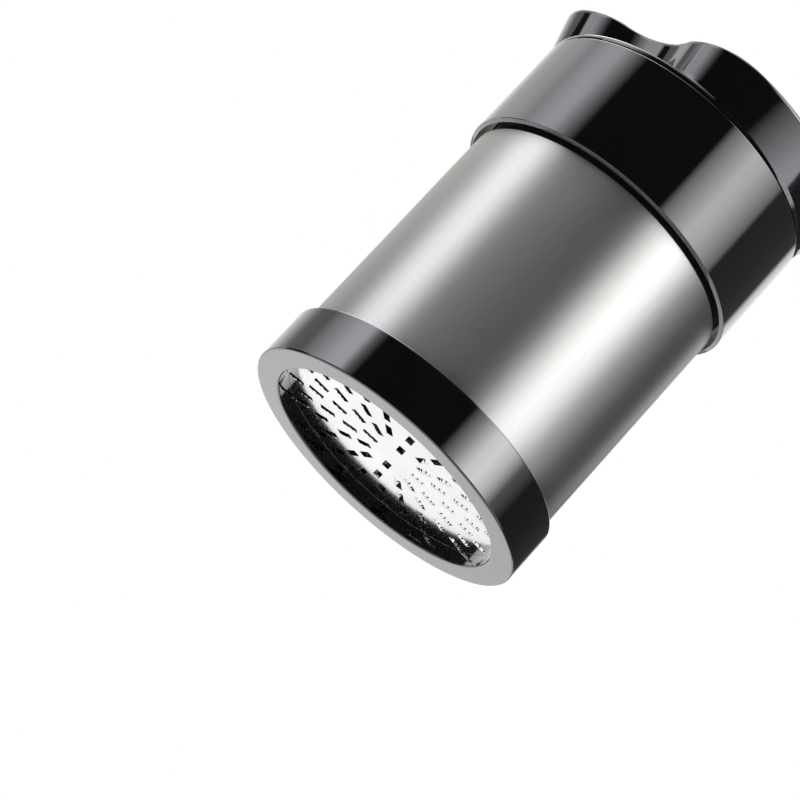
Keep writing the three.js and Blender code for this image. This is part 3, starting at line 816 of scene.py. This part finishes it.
def math_node(tree, operation, first, second):
    """The result of an operation on two values, each a number or another node's output."""
    node = tree.nodes.new("ShaderNodeMath")
    node.operation = operation
    for value, socket in zip((first, second), node.inputs):
        if isinstance(value, float):
            socket.default_value = value
        else:
            tree.links.new(value, socket)
    return node.outputs[0]


def ring_of_light(name, low, high, stops):
    """A ring round the object between two elevations, lighter and darker as it goes round. Stops are
    (angle, brightness, tint), with angles in degrees to the right of the camera's side."""
    columns, rows = 120, 4
    camera_side = math.radians(CAMERA_AZIMUTH)
    points = []
    for j in range(rows + 1):
        height = PANEL_DISTANCE * math.tan(math.radians(low + (high - low) * j / rows))
        for i in range(columns + 1):
            angle = camera_side + math.radians(-180 + 360 * i / columns)
            x, y = PANEL_DISTANCE * math.sin(angle), -PANEL_DISTANCE * math.cos(angle)
            points.append((x, y, height))
    faces = []
    for j in range(rows):
        for i in range(columns):
            a = j * (columns + 1) + i
            faces.append([a, a + 1, a + columns + 2, a + columns + 1])
    obj = add_mesh(name, points, faces)
    layer = obj.data.uv_layers.new(name="round")
    for loop in obj.data.loops:
        layer.data[loop.index].uv = (loop.vertex_index % (columns + 1) / columns, 0.5)
    material, tree, output = blank_material(name)
    light = tree.nodes.new("ShaderNodeEmission")
    tree.links.new(light.outputs[0], output.inputs["Surface"])
    place = tree.nodes.new("ShaderNodeUVMap")
    place.uv_map = "round"
    parts = tree.nodes.new("ShaderNodeSeparateXYZ")
    tree.links.new(place.outputs["UV"], parts.inputs["Vector"])
    ramp = tree.nodes.new("ShaderNodeValToRGB")
    elements = ramp.color_ramp.elements
    while len(elements) < len(stops):
        elements.new(0.5)
    strongest = max(brightness for _, brightness, _ in stops)
    for element, (angle, brightness, tint) in zip(elements, stops):
        level = brightness / strongest
        element.position = (angle + 180) / 360
        element.color = (level * tint[0], level * tint[1], level * tint[2], 1)
    tree.links.new(parts.outputs["X"], ramp.inputs["Fac"])
    tree.links.new(ramp.outputs["Color"], light.inputs["Color"])
    light.inputs["Strength"].default_value = strongest
    obj.data.materials.append(material)
    obj.visible_camera = False
    obj.visible_shadow = False


def surroundings():
    """Softboxes at the left and the right with a dark card between them, in rows: the lowest is what
    the mouth reflects, then come the knob's two, the ring's, the collar's and the steel's. The stops
    were first estimated from the reflections that they make, then thinned and rounded."""
    knob_left = [
        (-180, 0.5, WHITE), (-136, 0.5, WHITE), (-132, *DARK), (-130, 0.9, WHITE), (-126, 0.9, WHITE),
        (-124, *DARK), (-101, *DARK), (-97, 1.5, COOL), (-80, 1.6, COOL), (-64, 0.3, WHITE), (-58, *DARK)]
    rows = {
        "floor_card": [
            (-180, 1.1, WHITE), (-132, 1.1, WHITE), (-130, 0.03, WHITE), (130, 0.03, WHITE),
            (132, 1.0, WHITE), (176, 1.0, WHITE), (180, 1.1, WHITE)],
        "knob_light": knob_left + [
            (25, *DARK), (34, 0.5, WHITE), (60, 1.7, COOL), (70, 1.9, COOL), (88, 1.7, COOL),
            (94, 0.1, WHITE), (130, 0.1, WHITE), (180, 0.5, WHITE)],
        "knob_corner_light": knob_left + [
            (25, *DARK), (40, 0.6, WHITE), (70, 0.05, WHITE), (130, 0.05, WHITE), (180, 0.5, WHITE)],
        "ring_light": [
            (-180, 1.0, WARM), (-145, 0.7, WARM), (-128, 0.3, WARM), (-113, 0.35, WHITE),
            (-97, 1.2, COOL), (-82, 2.1, COOL), (-73, 2.2, COOL), (-67, 0.6, WHITE), (-60, *DARK),
            (17, *DARK), (28, 1.4, WHITE), (41, 4.1, WHITE), (50, 4.5, WHITE), (60, 3.2, WHITE),
            (72, 0.5, WHITE), (88, 0.05, WHITE), (158, 0.05, WHITE), (172, 0.9, WARM), (180, 1.0, WARM)],
        "collar_light": [
            (-180, 1.0, WARM), (-145, 0.7, WARM), (-116, 1.0, WHITE), (-106, 1.0, COOL),
            (-89, 1.75, COOL), (-80, 1.8, COOL), (-67, 0.55, WHITE), (-60, *DARK), (17, *DARK),
            (22, 0.95, WHITE), (44, 3.0, WHITE), (53, 2.7, WHITE), (76, 0.8, WHITE),
            (80, 0.09, WHITE), (136, 0.08, WHITE), (144, 1.0, WARM), (180, 1.0, WARM)],
        "high_light": [
            (-180, 0.1, WHITE), (-155, 2.2, WHITE), (-120, 4.0, WHITE), (-90, 2.8, WHITE),
            (-60, 0.9, WHITE), (-45, 0.9, WHITE), (-20, 0.4, WHITE), (0, 0.1, WHITE),
            (15, 0.03, WHITE), (30, 1.9, WHITE), (50, 3.2, WHITE), (62, 3.2, WHITE),
            (88, 0.2, WHITE), (140, 0.1, WHITE), (180, 0.1, WHITE)],
    }
    for (name, stops), low, high in zip(rows.items(), ROW_EDGES, ROW_EDGES[1:]):
        ring_of_light(name, low, high, stops)


def white_world():
    """White where the camera, metal or glass sees it, and plain soft light on everything else."""
    world = bpy.data.worlds.new("white_room")
    bpy.context.scene.world = world
    world.use_nodes = True
    tree = world.node_tree
    background = tree.nodes["Background"]
    path = tree.nodes.new("ShaderNodeLightPath")
    seen = math_node(tree, "MAXIMUM", path.outputs["Is Camera Ray"], path.outputs["Is Glossy Ray"])
    seen = math_node(tree, "MAXIMUM", seen, path.outputs["Is Transmission Ray"])
    level = tree.nodes.new("ShaderNodeMapRange")
    level.inputs["To Min"].default_value = ROOM_LIGHT
    level.inputs["To Max"].default_value = 1.0
    tree.links.new(seen, level.inputs["Value"])
    tree.links.new(level.outputs["Result"], background.inputs["Strength"])
    background.inputs["Color"].default_value = (1, 1, 1, 1)


def pale_floor():
    """A pale floor that shows from above, with the object's shadow, and fades into the white round it."""
    half = FLOOR_HALF_WIDTH
    corners = [(-half, -half), (half, -half), (half, half), (-half, half)]
    obj = add_mesh("floor", [(x, y, -FLOOR_DROP) for x, y in corners], [[0, 1, 2, 3]])
    material, tree, output = blank_material("floor")
    mix = tree.nodes.new("ShaderNodeMixShader")
    clear = tree.nodes.new("ShaderNodeBsdfTransparent")
    paint = tree.nodes.new("ShaderNodeBsdfDiffuse")
    paint.inputs["Color"].default_value = FLOOR_COLOUR
    path = tree.nodes.new("ShaderNodeLightPath")
    geometry = tree.nodes.new("ShaderNodeNewGeometry")
    distance = tree.nodes.new("ShaderNodeVectorMath")
    distance.operation = "LENGTH"
    tree.links.new(geometry.outputs["Position"], distance.inputs[0])
    fade = tree.nodes.new("ShaderNodeMapRange")
    fade.interpolation_type = "SMOOTHSTEP"
    fade.inputs["From Min"].default_value = FLOOR_FADE[0]
    fade.inputs["From Max"].default_value = FLOOR_FADE[1]
    fade.inputs["To Min"].default_value = 1.0
    fade.inputs["To Max"].default_value = 0.0
    tree.links.new(distance.outputs["Value"], fade.inputs["Value"])
    front = math_node(tree, "SUBTRACT", 1.0, geometry.outputs["Backfacing"])
    shown = math_node(tree, "MULTIPLY", path.outputs["Is Camera Ray"], front)
    faded = math_node(tree, "MULTIPLY", shown, fade.outputs["Result"])
    tree.links.new(faded, mix.inputs["Fac"])
    tree.links.new(clear.outputs[0], mix.inputs[1])
    tree.links.new(paint.outputs[0], mix.inputs[2])
    tree.links.new(mix.outputs[0], output.inputs["Surface"])
    obj.data.materials.append(material)
    obj.visible_shadow = False


def photo_camera():
    azimuth = math.radians(CAMERA_AZIMUTH)
    elevation = math.radians(CAMERA_ELEVATION)
    back = Vector((
        math.sin(azimuth) * math.cos(elevation),
        -math.cos(azimuth) * math.cos(elevation),
        math.sin(elevation),
    ))
    data = bpy.data.cameras.new("photo_camera")
    data.lens = CAMERA_LENS
    data.sensor_width = CAMERA_SENSOR
    data.clip_start = 0.01
    data.clip_end = 20.0
    camera = bpy.data.objects.new("photo_camera", data)
    bpy.context.scene.collection.objects.link(camera)
    place = Matrix.Translation(Vector(CAMERA_TARGET) * MM + back * CAMERA_DISTANCE * MM)
    aim = (-back).to_track_quat("-Z", "Y").to_matrix().to_4x4()
    camera.matrix_world = place @ aim @ Matrix.Rotation(math.radians(CAMERA_ROLL), 4, "Z")
    bpy.context.scene.camera = camera


finishes = looks()

dress(base_ring(), "black_plastic", "base", "base_ring")
dress(grater_disc(), "bright_steel", "base", "grater_disc")
dress(steel_sleeve(), "brushed_steel", "housing", "steel_sleeve")
dress(turning_collar(), "black_plastic", "turning_head", "turning_collar")
dress(knob(), "black_plastic", "lid", "knob")
spring = dress(pressure_spring(), "spring_steel", "lid", "pressure_spring")
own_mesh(spring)

smoothing = smoothing_group("smooth_by_angle", math.radians(32))
for part in frame["record"]["subparts"]:
    node = frame["nodes"][part["node"]]
    if not node.hide_render:
        finish_cad_node(node, part["material_slot"], smoothing)

surroundings()
white_world()
pale_floor()
photo_camera()
bpy.context.scene.view_settings.view_transform = "Standard"
